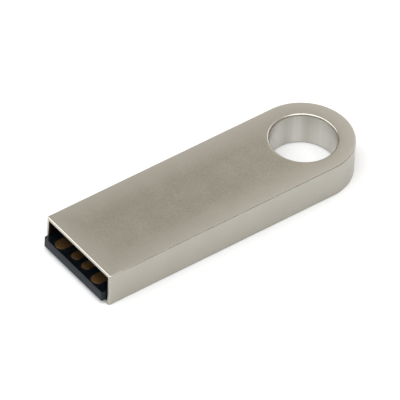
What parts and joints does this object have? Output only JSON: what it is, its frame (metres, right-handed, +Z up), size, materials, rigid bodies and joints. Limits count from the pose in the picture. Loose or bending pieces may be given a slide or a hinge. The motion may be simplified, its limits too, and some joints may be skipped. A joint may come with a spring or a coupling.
{
  "type": "usb flash drive",
  "caption": "Slim capless USB flash drive: a one-piece satin metal bar with a round end bored for a keyring and a flat memory module in its open plug end.",
  "frame": {"origin": "centre of the drive's bounding box, on the flat underside it lies on", "axes": "+X out of the plug end, +Z up through the contact side, +Y across the drive"},
  "size_m": [0.0396, 0.0124, 0.0046],
  "materials": {
    "satin_nickel": "satin grey nickel plating, finely grained",
    "contact_gold": "thin polished gold plating",
    "solder_mask": "glossy black",
    "board_laminate": "matt, cut edge of a dark glass-epoxy laminate",
    "mould_compound": "satin black epoxy",
    "black_abs": "fine matt grain",
    "bonding_film": "translucent acrylic film",
    "copper": "matt copper",
    "silicon": "polished, dark grey",
    "die_attach_film": "matt, pale",
    "bond_gold": "polished gold",
    "crystal_ceramic": "matt, brown-grey",
    "crystal_steel": "satin",
    "capacitor_ceramic": "matt, tan",
    "resistor_ceramic": "glossy black top on white",
    "tin": "bright tin"
  },
  "bodies": {
    "root": {"housing": "satin_nickel", "bonding_film": "bonding_film", "spacer_block": "black_abs", "board": "board_laminate", "solder_mask": "solder_mask", "contact_power": "contact_gold", "contact_data_minus": "contact_gold", "contact_data_plus": "contact_gold", "contact_ground": "contact_gold", "test_pads": "contact_gold", "contact_vias": "copper", "contact_tracks": "copper", "bond_fingers": "contact_gold", "controller_die": "silicon", "controller_film": "die_attach_film", "flash_die_inner": "silicon", "flash_film_inner": "die_attach_film", "flash_die_outer": "silicon", "flash_film_outer": "die_attach_film", "controller_bond_wires": "bond_gold", "flash_bond_wires": "bond_gold", "crystal_base": "crystal_ceramic", "crystal_lid": "crystal_steel", "capacitor_bodies": "capacitor_ceramic", "capacitor_terminals": "tin", "resistor_bodies": "resistor_ceramic", "resistor_terminals": "tin", "solder_joints": "tin", "mould_compound": "mould_compound"}
  },
  "joints": []
}
